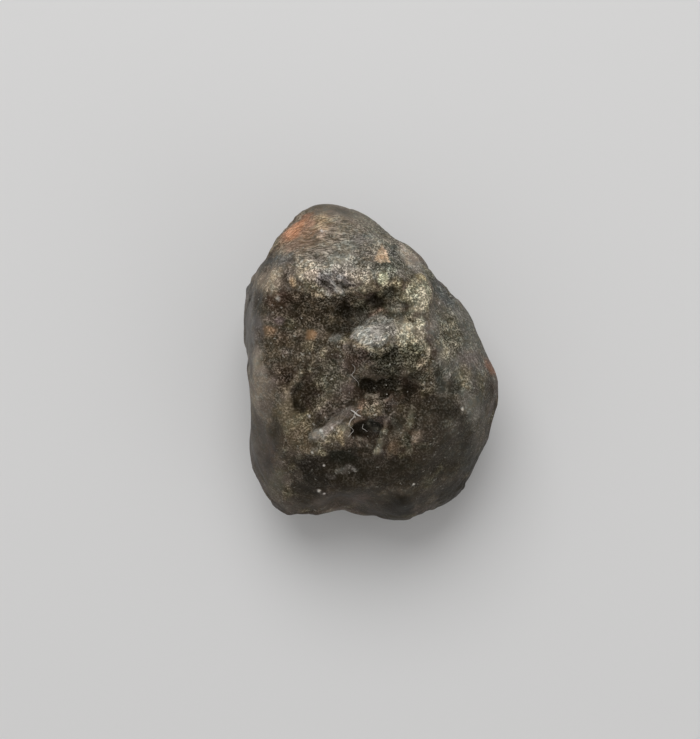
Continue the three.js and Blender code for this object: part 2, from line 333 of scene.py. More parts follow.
# Patches: middle x, y, half width and half height in pixels, colour, how strongly it covers and how
# gritty it is in percent (0 for a smooth skin, 100 for bare grains), and where there are any, height
# in micrometres and turn in degrees anticlockwise.
PATCHES = [
    # flanks
    ("left flank", 252, 325, 12, 50, (96, 94, 91), 90, 10),
    ("dark left flank", 262, 305, 9, 14, (44, 42, 38), 80, 30, 0, 10),
    ("pale left flank", 258, 384, 9, 40, (136, 128, 114), 85, 10),
    ("grey left flank", 262, 446, 20, 40, (74, 69, 63), 90, 6),
    ("mauve left flank", 278, 465, 12, 26, (68, 60, 57), 60, 10, 0, 10),
    ("olive left heel", 276, 484, 9, 14, (78, 78, 64), 50, 10),
    ("right flank", 462, 345, 28, 52, GREEN_GREY, 90, 40, 0, 15),
    ("slate flank", 440, 288, 8, 26, SLATE, 80, 50, -20, 35),
    ("speckled flank", 450, 334, 11, 22, (118, 114, 96), 80, 90, 20, 10),
    ("pale spots right", 446, 354, 7, 8, CREAM, 50, 90, 20),
    ("dark band right", 438, 372, 6, 14, (62, 62, 54), 70, 70, -30, 6),
    ("dark by lumps", 438, 406, 17, 10, (38, 34, 29), 90, 50, -40),
    ("dark right side", 450, 402, 11, 20, (44, 42, 36), 65, 35),
    ("mauve-grey right", 470, 362, 14, 12, MAUVE, 60, 25),
    ("pale skin right", 474, 407, 14, 15, (116, 115, 106), 70, 15),
    ("lower right flank", 464, 438, 26, 30, (80, 78, 72), 80, 30),
    ("dark step right", 448, 414, 17, 6, (34, 30, 25), 85, 35, -30, -6),
    ("dark right edge", 464, 431, 9, 14, (42, 38, 32), 75, 30, 0, 10),
    ("dark lower right", 448, 452, 16, 18, UMBER, 60, 50),
    ("olive dab right", 464, 378, 7, 12, KHAKI, 60, 70, 20, 10),
    ("dark by dab", 455, 385, 6, 9, (46, 46, 40), 70, 50, -20),
    ("dark by rust", 484, 392, 8, 14, (56, 54, 48), 60, 30),
    ("rust edge", 490.5, 368, 3.5, 10, (136, 99, 76), 75, 35, 0, 33),
    # nose
    ("nose", 330, 232, 54, 34, (124, 115, 101), 90, 65),
    ("nose top", 335, 208, 40, 9, (92, 86, 76), 90, 10, 0, -4),
    ("dim nose right", 338, 225, 14, 9, (104, 97, 84), 60, 50),
    ("nose's grey rim", 372, 222, 30, 6, (112, 106, 92), 80, 20, 0, -28),
    ("nose right", 386, 240, 30, 14, (124, 122, 110), 80, 70, 0, -35),
    ("grey over crest's top", 352, 250, 24, 10, (134, 131, 121), 70, 65, 10, 5),
    ("pale slate", 372, 238, 8, 6, (138, 136, 126), 60, 50, 0, -10),
    ("crest's top", 342, 259, 13, 6, (166, 163, 150), 80, 70, 10, 5),
    ("crest's right end", 373, 270, 7, 6, (150, 148, 134), 80, 80, 10),
    ("slate skin", 356, 236, 11, 7, SLATE, 50, 40, 0, -10),
    ("slate skin left", 276, 262, 18, 6, SLATE, 70, 30, -20, 20),
    ("rust streak's halo", 305, 231, 24, 12, (134, 106, 84), 85, 40, 0, 38),
    ("rust streak", 296, 229, 18, 5.5, (166, 118, 86), 90, 40, 10, 44),
    ("warm nose", 322, 222, 10, 8, (158, 140, 112), 70, 60, 10, 10),
    ("brown nose", 304, 244, 20, 7, (108, 94, 80), 70, 40, 0, 20),
    # crest
    ("crest", 332, 268, 44, 15, (121, 117, 107), 90, 70, 20),
    ("crest left", 307, 269, 12, 9, (148, 139, 122), 90, 70, 30, 15),
    ("crest's pale left", 319, 271, 9, 8, (160, 152, 136), 70, 70, 20),
    ("crest middle", 356, 270, 7, 5, (176, 170, 156), 85, 70, 20),
    ("crest right", 359, 277, 12, 6, (146, 138, 122), 90, 80, 30),
    # Painted shadow under the crest's edge, over dark crust.
    ("dark under edge", 350, 298, 10, 4, (54, 48, 38), 80, 70, -20),
    ("green-grey crest", 392, 266, 14, 12, (106, 109, 98), 80, 90),
    ("dark under peach", 381, 266, 9, 2.5, (58, 58, 50), 70, 70),
    ("purple crest", 332, 281, 22, 9, (86, 82, 83), 85, 95, -50, -14),
    ("black in crest", 326, 284, 7, 4, (40, 37, 33), 85, 70, -40, -34),
    ("black end in crest", 347, 286, 6, 3, (44, 38, 28), 80, 70, -30, -20),
    ("pale by purple", 312, 275, 6, 5, (170, 158, 140), 85, 60, 20),
    ("slate by peach", 394, 251, 5, 6, (84, 88, 86), 70, 70, -10),
    ("rim patch", 410, 258, 17, 6.5, (172, 162, 147), 85, 30, 0, -47),
    ("grey by knob", 406, 271, 8, 7, (134, 130, 119), 70, 60),
    ("grey over knob", 419, 269, 10, 6, (146, 142, 132), 80, 40, 0, -45),
    ("dark rim", 432, 277, 10, 4, (88, 88, 82), 60, 40, -10, -48),
    ("tan disc", 269, 280, 14, 14, (138, 127, 110), 90, 40, 30),
    ("gap by disc", 286, 272, 3, 7, UMBER, 70, 60, -40),
    # the dark under the crest: dark crust with the crest's painted shadow
    ("dark under crest", 318, 311, 56, 17, (84, 75, 62), 95, 75, -30, -4),
    ("dim crest edge", 322, 300, 32, 6, (92, 82, 70), 70, 85, 0, -3),
    ("red-brown left", 280, 300, 14, 8, RED_BROWN, 60, 50, -30),
    ("brown left", 288, 318, 14, 8, (74, 64, 52), 60, 60, 30),
    ("deep dark", 341, 308, 12, 10, (50, 44, 37), 80, 70, -50),
    ("green dark", 361, 314, 9, 10, (52, 52, 42), 80, 70, -40, 30),
    # Painted shade in the cavern under the crest, over its dark crust.
    ("black cavern", 376, 302, 10, 7, BLACK, 95, 50, -90),
    ("black beside it", 347, 312, 5, 9, BLACK, 70, 50, -40),
    ("black by knob", 389, 291, 8, 6, SOOT_GREEN, 85, 80, -50, 20),
    ("grey over cavern", 401, 300, 9, 4, (128, 121, 104), 85, 80, 35, 10),
    ("pale over groove", 396, 308, 9, 4, (138, 130, 118), 80, 40, 35, 10),
    # left side of the plateau
    ("left brown", 290, 345, 32, 24, (78, 70, 58), 90, 58),
    ("violet dust", 279, 321, 5, 4, (112, 100, 98), 70, 50, 20),
    ("olive dab", 291, 324, 5, 6, OLIVE, 50, 80, 20),
    ("dark lump left", 284, 338, 8, 8, (66, 54, 44), 60, 80, 50),
    ("orange grain left", 269, 331, 6, 5, (128, 100, 72), 70, 50, 20),
    ("khaki under grain", 308, 346, 8, 5, KHAKI, 60, 90, 20),
    ("pale specks", 288, 352, 6, 5, (118, 108, 98), 60, 90, 20),
    ("dark by specks", 300, 344, 6, 6, (58, 51, 41), 60, 70, -20),
    ("dark over dab", 336, 328, 16, 6, (38, 34, 26), 85, 60, -30),
    ("dark under dab", 330, 344, 14, 8, (66, 61, 48), 55, 80),
    ("grey dab", 336, 339, 8, 5, (98, 97, 90), 85, 30, 20, 10),
    ("red-brown slope", 286, 377, 8, 9, (58, 46, 38), 80, 90, -60),
    ("middle plateau", 332, 378, 17, 18, (94, 91, 78), 85, 70),
    ("pale by rib", 341, 366, 5, 6, (120, 111, 100), 60, 70, 20),
    ("pale middle", 325, 366, 8, 8, (104, 98, 84), 50, 90, 20),
    ("round hollow", 306, 392, 12, 11, (62, 53, 44), 90, 60, -85),
    ("its green wall", 299, 388, 4, 6, SOOT_GREEN, 60, 50, -20),
    ("its black end", 296, 404, 4, 6, BLACK, 90, 30, -50),
    # middle ledge and the right side of the plateau
    # The ledge's pale grey is partly its own crust and partly painted glare.
    ("ledge", 377, 333, 18, 12, (124, 123, 116), 90, 75, 40, 20),
    ("ledge's right end", 396, 328, 6, 8, (146, 142, 124), 80, 70, 20),
    # Painted shade on the ledge's underside, over dark crust.
    ("dark under ledge", 388, 349, 7, 4, (52, 50, 40), 70, 90, -20),
    ("ledge's top", 381, 318, 6, 4, (140, 134, 122), 70, 70, 20, 10),
    ("dark over tip", 350, 327, 8, 5, (66, 62, 56), 80, 60, -30, 30),
    ("cream lump", 406, 329, 10, 8, (180, 172, 150), 90, 35, 50),
    ("cream tail", 408, 342, 11, 9, (150, 144, 122), 80, 75, 20, 20),
    ("cream right", 419, 322, 5, 6, (176, 171, 148), 80, 75, 30),
    ("olive mottle", 412, 356, 15, 14, (92, 90, 72), 90, 100),
    ("curved pale grain", 427, 352, 3, 6, (158, 150, 128), 70, 60, 30, 10),
    ("mauve below ledge", 361, 357, 12, 9, (72, 61, 56), 85, 80, -40),
    # Painted shade under the ledge's tip, over dark crust.
    ("dark under tip", 353, 349, 9, 5, (62, 56, 50), 85, 70, -30, -10),
    ("green-black", 387, 362, 16, 14, (48, 49, 39), 85, 100, -30),
    # Dark crust with painted shade in the long hollow.
    ("long hollow", 370, 385, 12, 6, BLACK, 95, 35, -100, -6),
    ("its speckled end", 388, 384, 9, 6, (30, 28, 22), 90, 90, -70),
    ("its lower end", 383, 391, 6, 3, BLACK, 90, 40, -40, -20),
    ("cap of lump", 373, 397, 6, 3.5, (132, 122, 106), 80, 40, 30),
    ("hollow beside it", 408, 391, 7, 10, (38, 30, 25), 95, 50, -70, 10),
    ("slate by khaki", 441, 386, 6, 9, (52, 56, 53), 75, 30),
    ("between them", 397, 385, 5, 8, (72, 69, 60), 70, 95, 30),
    ("khaki beside them", 428, 386, 7, 10, (80, 75, 60), 60, 90, 30),
    ("dark over hollow", 420, 376, 10, 5, (54, 53, 44), 70, 80, -10),
    # lower part of the plateau
    ("ochre swelling", 288, 416, 16, 22, (93, 85, 67), 90, 40, 30),
    ("dark by swelling", 277, 430, 8, 14, (56, 52, 43), 80, 20),
    ("khaki beside", 307, 420, 7, 11, (100, 92, 70), 70, 75, 30),
    ("hollow's dark foot", 296, 400, 6, 9, (50, 43, 33), 70, 60, -10),
    ("khaki low", 300, 440, 14, 12, (92, 81, 63), 80, 60),
    ("brown under it", 291, 457, 8, 8, (60, 52, 44), 80, 40),
    ("under hollow", 300, 409, 7, 5, (46, 40, 31), 90, 50, -30),
    ("khaki middle", 320, 404, 9, 7, (116, 109, 90), 80, 80, 30, 20),
    ("mauve middle", 343, 400, 8, 8, (106, 95, 86), 80, 80),
    ("dark by knot", 349, 403, 5, 6, (58, 52, 45), 80, 60, -20),
    ("violet slope", 332, 409, 16, 8, (80, 71, 66), 80, 80, -20, 35),
    ("grey lump's top", 339, 420, 13, 6, (90, 83, 76), 85, 35, 40, 40),
    ("grey lump", 322, 433, 12, 6, (120, 116, 108), 90, 30, 70, 25),
    ("dark over it", 321, 423, 6, 4, (62, 55, 46), 70, 70, -20, 30),
    ("brown of knot", 361, 406, 4, 6, (104, 84, 70), 75, 40, 20, -10),
    ("dark beside knot", 354, 402, 4, 5, (44, 38, 31), 85, 50, -20),
    ("lower lump", 375, 405, 13, 8, (108, 98, 82), 85, 100, 60, 10),
    ("dark top of it", 385, 396, 7, 4, (34, 29, 22), 85, 80, -10),
    ("dark by lump", 391, 414, 5, 5, (46, 40, 33), 85, 60, -20),
    ("khaki of lump", 375, 410, 10, 6, (100, 92, 77), 85, 80, 30),
    ("violet grains", 387, 407, 4.5, 6.5, (50, 43, 40), 90, 80, -30),
    # Dark crust with painted shade in the pit, on the lump's shaded side.
    ("dark pit", 361, 431, 11, 7, BLACK, 95, 30, -120, 20),
    ("pit's mauve wall", 360, 421, 5, 5, (104, 90, 78), 85, 30),
    ("pit's grey wall", 374, 426, 7, 6, (74, 78, 76), 85, 50, -50, -30),
    ("under pit", 364, 446, 11, 7, (52, 46, 38), 80, 50, -20),
    ("brown by rib", 389, 428, 3, 7, (52, 40, 30), 85, 40, -40, -10),
    ("slate beside", 397, 424, 6, 9, (72, 70, 61), 80, 25, -30, 10),
    ("brown below lumps", 410, 413, 20, 13, (50, 44, 36), 85, 60),
    ("pale grey band", 410, 419, 4, 10, (102, 98, 82), 80, 30, 30, -8),
    ("tan by rib", 394, 446, 7, 8, (100, 84, 66), 75, 35, 10),
    ("green-black dip", 408, 441, 4, 7, SOOT_GREEN, 80, 50, -50),
    ("tan lump", 416, 438, 6, 7, (126, 113, 97), 85, 40, 40, -20),
    ("olive under it", 409, 450, 4, 4, (96, 94, 78), 60, 40, 10),
    ("grey-brown right", 432, 442, 16, 22, (58, 53, 46), 80, 45),
    # heel
    ("dark heel", 328, 474, 38, 24, (34, 29, 24), 95, 40),
    ("heel under pit", 372, 468, 22, 14, (37, 32, 26), 85, 45),
    ("heel right", 412, 468, 38, 16, (44, 39, 33), 85, 35),
    ("dark low right", 400, 463, 12, 7, (32, 28, 24), 70, 40, -30),
    ("dark mid heel", 396, 482, 26, 8, (34, 29, 23), 80, 30, -20),
    ("dark heel left of it", 357, 478, 12, 7, (32, 28, 23), 80, 40, -20),
    ("right heel", 450, 462, 22, 26, (41, 37, 30), 85, 25),
    ("green-black heel", 345, 457, 14, 8, (30, 32, 27), 90, 40, -50),
    ("grey of arch", 345, 471, 9, 4, (92, 88, 80), 75, 25, 10, 10),
    ("violet-black heel", 311, 466, 11, 12, (36, 31, 28), 80, 50, -20),
    ("khaki spots right", 322, 452, 5, 4, OLIVE, 70, 80, 20),
    ("grey dab low", 332, 477, 5, 2.5, (84, 80, 75), 60, 30, 10, -20),
    ("mauve heel", 348, 493, 32, 10, (49, 42, 36), 80, 25),
    ("low edge's skin", 302, 504, 34, 7, (68, 61, 54), 90, 10, 0, 3),
    ("warm heel", 342, 502, 12, 6, (84, 72, 62), 60, 20),
    ("mottle in heel", 360, 499, 14, 5, (92, 79, 70), 60, 15, 0, 12),
    ("dark over mottle", 352, 486, 10, 4, (30, 26, 21), 60, 20),
    ("dark of heel", 364, 468, 24, 11, (20, 17, 13), 55, 30),
    ("dark heel right", 408, 470, 18, 8, (26, 23, 18), 55, 30),
    ("dark heel left", 316, 478, 12, 12, (26, 23, 18), 50, 30),
    ("lobe", 395, 506, 38, 16, (34, 30, 24), 90, 10),
    ("dark of lobe", 402, 504, 13, 10, (16, 12, 9), 80, 10, 0, -20),
    ("brown of lobe", 376, 508, 10, 8, (58, 51, 45), 60, 10),
    ("dark left heel", 304, 494, 12, 13, (40, 36, 31), 85, 25),
    ("warm grey", 432, 488, 18, 12, (49, 44, 38), 85, 20, 0, 30),
    ("khaki strip", 428, 480, 6, 8, (66, 62, 50), 50, 30, 10, -20),
    ("dark by strip", 438, 474, 6, 8, (34, 31, 25), 70, 30, -10),
    ("heel's right edge", 450, 496, 24, 10, (38, 36, 32), 90, 10, 0, 42),
    ("low right edge", 474, 466, 12, 24, (46, 45, 40), 85, 15, 0, 20),
    # last touches, all over
    ("pale strip left", 267, 398, 8, 28, (112, 103, 92), 60, 25),
    ("grey left shoulder", 262, 268, 6, 8, (78, 76, 70), 70, 30),
    ("warm by knot", 342, 400, 5, 5, (104, 94, 83), 60, 70, 10),
    ("dusty by dark", 414, 400, 7, 6, (78, 71, 60), 50, 80, 10),
    ("dusty beside", 405, 440, 5, 7, (88, 83, 68), 60, 70, 20),
    ("pale crest", 341, 263, 12, 6, (174, 171, 157), 55, 50, 10, 8),
    ("khaki over lump", 428, 275, 9, 8, (128, 126, 108), 45, 60, 10, -40),
    ("ledge's top edge", 371, 318, 19, 4, (118, 115, 104), 65, 50, 10, 6),
    ("grain over dark", 379, 355, 4, 4, (116, 110, 93), 75, 80, 20),
    ("khaki by dark", 414, 366, 9, 6, (110, 105, 85), 55, 80, 10),
    ("dark under lump", 385, 411, 4, 4, (48, 42, 36), 80, 50, -20),
    ("dark by rib", 392, 434, 4, 8, (52, 46, 36), 75, 40, -20),
    ("dark round worm", 373, 426, 7, 4, (28, 27, 22), 70, 30, -10, 10),
    ("pale under knot", 350, 427, 3.5, 5, (114, 105, 89), 60, 70, 30),
    ("lump's sandy edge", 341, 431, 6, 4, (160, 150, 126), 60, 90, 20, -50),
    ("pale by crest", 374, 277, 5, 4, (140, 136, 122), 35, 60, 10),
    ("grey over crest", 345, 245, 9, 6, (148, 146, 133), 55, 50),
    ("bright lump", 416, 281, 6, 6, (176, 167, 140), 55, 80, 10),
    # Painted shade on the ledge's dark side, over dark crust.
    ("dark belly band", 381, 371, 15, 4, (34, 31, 24), 60, 60, -10),
    ("dusty under it", 359, 383, 4, 4, (84, 78, 66), 65, 70, 10),
    ("warm grain", 336, 404, 5, 4, (110, 101, 88), 65, 70, 10),
    ("dark by rib's foot", 371, 451, 5, 5, (40, 36, 29), 75, 50, -10),
    ("dim below lump", 320, 444, 7, 6, (56, 49, 40), 45, 60),
    ("dusty right heel", 451, 454, 7, 8, (76, 73, 66), 45, 20),
    ("dim of belt", 338, 500, 12, 7, (38, 34, 30), 40, 10),
    ("light low flank", 259, 434, 9, 26, (98, 93, 86), 45, 10),
    ("dusty ledge's end", 392, 309, 7, 7, (124, 122, 106), 50, 60, 10),
    ("grey over ledge", 359, 314, 9, 5, (100, 96, 86), 50, 50),
    ("khaki by ledge", 420, 333, 5, 6, (156, 149, 127), 50, 80, 10),
    ("light mid edge", 262, 385, 10, 15, (134, 125, 113), 55, 20),
    ("dim by ribs", 441, 424, 14, 8, (42, 38, 32), 40, 30),
    ("dusty grain low", 421, 445, 6, 5, (98, 93, 78), 65, 60, 10),
    ("dark over lump", 371, 391, 6, 4, (28, 24, 17), 80, 60, -10),
    ("rust streak's end", 290, 232, 8, 5, (180, 130, 98), 80, 40, 0, 48),
    ("khaki grain", 408, 315, 5, 5, (132, 129, 110), 55, 70, 10),
    ("dusty under crest", 364, 288, 7, 4, (124, 118, 102), 60, 70),
    ("dark in cavern", 377, 309, 5, 4, (44, 38, 30), 70, 60),
    ("grey under peach", 395, 260, 5, 5, (138, 136, 126), 55, 50),
    ("dim right flank", 476, 376, 6, 6, (82, 78, 70), 40, 30),
    ("dark in hollow", 396, 292, 5, 5, (42, 39, 31), 70, 60, -10),
    ("grey over peach", 387, 240, 5, 4, (152, 146, 130), 60, 50),
    ("dark below streaks", 363, 453, 6, 5, (34, 30, 23), 70, 50, -10),
    ("khaki over ridge", 420, 342, 5, 4, (156, 150, 130), 60, 80, 10),
    ("dusty by rib's foot", 401, 444, 5, 5, (106, 96, 78), 60, 60, 10),
    ("peach grain", 321, 235, 5, 4, (174, 154, 134), 60, 50),
    ("dark right heel", 457, 480, 10, 8, (40, 37, 32), 35, 20),
    ("tan grain", 422, 362, 4, 4, (152, 138, 114), 70, 70, 10),
    ("dim by purple", 308, 283, 7, 5, (74, 67, 56), 60, 60),
    ("dim purple crest", 337, 287, 12, 8, (70, 65, 60), 65, 85, 0, -20),
    ("dim by ridge", 442, 354, 5, 4, (94, 91, 78), 65, 50),
    ("khaki by ledge's end", 396, 321, 8, 19, (142, 139, 121), 38, 60),
    ("dusty in hollow", 389, 293, 5, 7, (92, 90, 78), 50, 60),
    ("tan left shoulder", 285, 267, 5, 5, (134, 125, 113), 60, 50, 10),
    ("dark over plateau", 295, 293, 8, 5, (54, 47, 38), 50, 70),
    ("dark over slope", 342, 418, 5, 8, (62, 54, 46), 50, 50),
    ("dusty by ledge", 451, 331, 6, 8, (122, 118, 105), 45, 50),
    ("dark by ribs", 429, 424, 7, 7, (40, 36, 30), 60, 50),
    ("dusty over heel", 428, 449, 6, 5, (76, 72, 60), 50, 60),
    ("dim middle heel", 415, 470, 9, 8, (32, 29, 24), 50, 30),
    ("dim of lobe", 392, 508, 10, 6, (28, 23, 19), 60, 10),
    ("light left edge", 256, 383, 8, 12, (126, 118, 107), 55, 20),
    ("hollow's dark rim", 284, 389, 5, 5, (66, 57, 45), 70, 60),
    ("dark left plateau", 304, 371, 7, 5, (48, 42, 34), 85, 70),
    ("crest's pale grain", 348, 267, 5, 4, (190, 186, 172), 60, 60, 10),
    ("ledge's pale grain", 382, 321, 5, 4, (168, 164, 151), 60, 40, 10),
    ("pale khaki", 402, 337, 6, 6, (174, 168, 146), 50, 70),
    ("brown grain", 320, 312, 5, 4, (106, 95, 81), 75, 70),
    ("brown grain beside", 290, 309, 5, 4, (104, 92, 80), 75, 70),
    ("dim of olive lump", 421, 293, 6, 5, (96, 92, 78), 80, 70),
    ("rust grain", 309, 224, 6, 4, (186, 146, 118), 50, 40, 0, 20),
]

# Patches with clear edges: outline in pixels, then colour, cover, grit and height as above.
FACETS = [
    ("knob",
     [(415, 274), (424, 276), (431, 288), (432, 303), (424, 311), (413, 307), (400, 299), (408, 286)],
     (132, 128, 107), 85, 70, 35),
    ("knob's face", [(414, 292), (422, 288), (428, 298), (426, 308), (417, 307), (409, 299)],
     (158, 153, 132), 60, 70, 15),
    ("knob's tip", [(415, 275), (421, 274), (425, 281), (417, 284)], (156, 142, 108), 60, 60),
    ("peach spot", [(382, 244), (387, 252), (390, 262), (381, 263), (374, 261), (378, 252)],
     (180, 157, 130), 95, 45, 20),
    ("its orange core", [(379, 254), (384, 253), (385, 259), (380, 260)], ORANGE, 30, 40),
    ("yellow-green spot", [(380, 274), (386, 273), (389, 280), (384, 286), (377, 281)],
     (160, 157, 130), 85, 70, 20),
    ("orange grain by disc", [(291, 275), (295, 277), (297, 285), (292, 286), (289, 280)],
     (158, 136, 108), 85, 50, 20),
    ("orange grain", [(306, 330), (313, 329), (318, 334), (314, 340), (306, 340)],
     (122, 96, 68), 95, 20, 20),
    ("pale grain far left", [(275, 298), (278, 297), (279, 300), (276, 301)],
     (180, 172, 160), 90, 10, 20),
    # The ledge's face: grey crust, partly painted glare.
    ("ledge's face", [(350, 338), (362, 327), (384, 316), (396, 319), (396, 334), (382, 345), (364, 345)],
     (142, 140, 131), 70, 70, 45),
    ("cream lip", [(342, 428), (345, 436), (344, 445), (339, 443), (336, 436)],
     (118, 106, 82), 90, 60, 40),
]

# Thin ridges (and, with a height below 0, furrows): route and half width in pixels, then colour,
# cover, grit and height as above.
STROKES = [
    ("white streak", [(323, 277), (335, 285), (343, 293)], 1.1, (158, 154, 148), 90, 30, 30),
    ("thin white streak", [(330, 274), (337, 279), (343, 283)], 1.0, (132, 128, 122), 45, 30, 20),
    ("right white streak", [(334, 272), (341, 279), (350, 284)], 1.0, (146, 142, 138), 55, 30, 20),
    ("low white streak", [(327, 291), (334, 296), (341, 298)], 1.2, (142, 136, 128), 80, 40, 20),
    ("end of white streak", [(336, 290), (342, 294), (348, 291)], 1.2, PALE_GREY, 70, 30, 20),
    ("left white streak", [(320, 289), (331, 296)], 1.5, PALE_GREY, 60, 50, 20),
    ("crest's edge", [(296, 287), (312, 294), (328, 297), (340, 295), (352, 290), (370, 286)], 2.3,
     KHAKI, 30, 100, 40),
    ("lip under knob", [(411, 309), (419, 310), (428, 308)], 2.0, CREAM, 80, 50, 30),
    ("groove", [(385, 313), (397, 315), (408, 313)], 1.9, SOOT_GREEN, 70, 20, -35),
    ("groove's tail", [(385, 305), (393, 306), (400, 308)], 1.4, BLACK, 50, 30, -20),
    ("knob's right edge", [(428, 283), (432, 291), (431, 302)], 1.8, (128, 118, 104), 70, 60, 10),
    ("ledge's top edge", [(353, 333), (360, 327), (367, 322), (376, 317)], 1.5, PALE_GREY, 55, 30, 20),
    ("ledge's low edge", [(362, 348), (377, 350), (390, 346)], 1.6, CREAM, 50, 50, 30),
    # Pale streaks of painted glare on the ledge.
    ("ledge fibre", [(352, 338), (358, 339), (364, 342), (371, 346)], 1.1, (150, 146, 138), 80, 20, 20),
    ("upper ledge fibre", [(351, 336), (358, 333), (365, 334), (372, 337)], 1.1,
     (150, 146, 138), 80, 20, 20),
    ("cross ledge fibre", [(361, 328), (370, 331), (379, 340)], 1.2, PALE_GREY, 70, 20, 20),
    ("ledge's red edge", [(371, 316), (379, 311), (386, 312)], 2.0, (110, 86, 74), 70, 60, 20),
    ("curved ridge", [(425, 344), (428, 352), (426, 360)], 2.0, (150, 142, 120), 60, 70, 30),
    ("pale ridge", [(311, 369), (314, 363), (319, 356), (325, 350)], 2.6, (132, 124, 104), 70, 90, 50),
    ("pale ridge left", [(294, 385), (298, 378), (302, 373)], 3.0, (114, 106, 89), 75, 80, 60),
    ("black edge of hollow", [(296, 385), (294, 394), (297, 404), (303, 409)], 2.6, BLACK, 80, 40, -40),
    ("middle rib", [(345, 348), (347, 360), (344, 374)], 2.0, (126, 114, 106), 60, 60, 30),
    ("middle rib left", [(338, 352), (339, 363)], 1.5, (110, 102, 92), 50, 60, 20),
    ("lump's top", [(366, 396), (372, 394), (378, 396)], 1.8, (146, 136, 118), 80, 50, 40),
    ("lump's pink edge", [(375, 406), (380, 404), (385, 401), (391, 397)], 1.2,
     (126, 112, 100), 80, 60, 30),
    ("rib", [(394, 412), (390, 416), (386, 421)], 1.2, (128, 121, 111), 85, 30, 40),
    ("rib's middle", [(386, 421), (385, 427), (383, 433)], 1.4, (126, 114, 98), 90, 30, 50),
    ("rib's foot", [(383, 432), (381, 440), (377, 451)], 2.6, (148, 144, 124), 85, 40, 50),
    ("grey lump's edge", [(314, 437), (322, 431), (331, 422), (343, 413), (352, 407)], 1.5,
     (134, 128, 119), 50, 30, 20),
    ("streak by it", [(327, 433), (338, 422), (348, 414)], 1.5, (124, 114, 106), 60, 40, 20),
    ("arch", [(337, 471), (343, 470), (349, 466), (353, 469), (356, 471)], 1.5,
     (128, 125, 118), 75, 50, 20),
    ("small ridge right", [(441, 467), (433, 477), (426, 488)], 1.8, (84, 80, 62), 50, 40, 20),
    ("pink streaks", [(359, 438), (365, 441), (371, 446)], 1.5, (128, 118, 104), 75, 40, 30),
    ("pink streaks middle", [(352, 441), (357, 443), (361, 447)], 1.3, (122, 108, 96), 80, 50, 30),
    ("pink streaks low", [(352, 446), (356, 449), (360, 450)], 1.2, (130, 118, 106), 70, 50, 20),
    ("worm in pit", [(369, 425), (372, 429), (377, 429)], 1.2, (118, 116, 104), 90, 30, 20),
    ("ridge under strand", [(349, 424), (351, 430), (349, 436)], 1.8, (134, 128, 112), 75, 60, 30),
]

# Streaked places, where a thin skin has been combed: middle x, y, half width, half height in
# pixels, turn in degrees anticlockwise, and strength.
STREAKS = [
    ("nose", 314, 236, 56, 26, 4, 0.6),
    ("rust streak", 299, 226, 22, 8, 42, 0.75),
    ("ledge", 366, 337, 20, 11, 28, 0.42),
    ("purple crest", 334, 284, 19, 10, -38, 0.5),
    ("slope over the grey lump", 334, 421, 22, 10, 38, 0.42),
    ("under the pit", 363, 443, 12, 6, -20, 0.5),
]

# Single bright grains, painted near white: partly pale grains, partly painted glints. x, y in pixels,
# radius in micrometres.
GRAIN_AND_GLINT_WHITE = (214, 210, 200)
GRAINS_AND_PAINTED_GLINTS = [
    (463, 409, 26), (277, 300, 26), (319, 491, 34), (324, 494, 26),
    (447, 353, 22), (450, 375, 19), (324, 466, 12), (322, 231, 26),
    (332, 429, 30), (322, 431, 30), (302, 263, 30), (439, 304, 15),
    (414, 485, 26), (310, 416, 30), (312, 452, 22), (355, 417, 22),
]


def ellipse(pixels, x, y, half_width, half_height, turn):
    """0 at the middle of an ellipse in the frame and 1 on its edge."""
    angle = math.radians(turn)
    right = pixels[:, 0] - x
    up = y - pixels[:, 1]
    along = (right * math.cos(angle) + up * math.sin(angle)) / half_width
    across = (up * math.cos(angle) - right * math.sin(angle)) / half_height
    return np.hypot(along, across)


def from_line(pixels, start, end):
    """How far each pixel is from a line between two others."""
    start = np.array(start, float)
    line = np.array(end, float) - start
    along = np.clip((pixels - start) @ line / (line @ line), 0, 1)
    return np.linalg.norm(pixels - start - along[:, None] * line, axis=1)


def from_route(pixels, route):
    return np.min([from_line(pixels, a, b) for a, b in zip(route, route[1:])], axis=0)


def from_outline(pixels, outline):
    """How far each pixel is from a closed outline, below 0 inside it."""
    inside = np.zeros(len(pixels), bool)
    x, y = pixels.T
    for (x0, y0), (x1, y1) in zip(outline, outline[1:] + outline[:1]):
        crossed = (y0 > y) != (y1 > y)
        inside ^= crossed & (x < x0 + (y - y0) * (x1 - x0) / (y1 - y0 + 1e-9))
    distance = from_route(pixels, outline + outline[:1])
    return np.where(inside, -distance, distance)


def close_to(pixels, spots, margin):
    """Which pixels are within a margin of the box round some spots."""
    low = np.min(spots, axis=0) - margin
    high = np.max(spots, axis=0) + margin
    return np.all((pixels > low) & (pixels < high), axis=1)


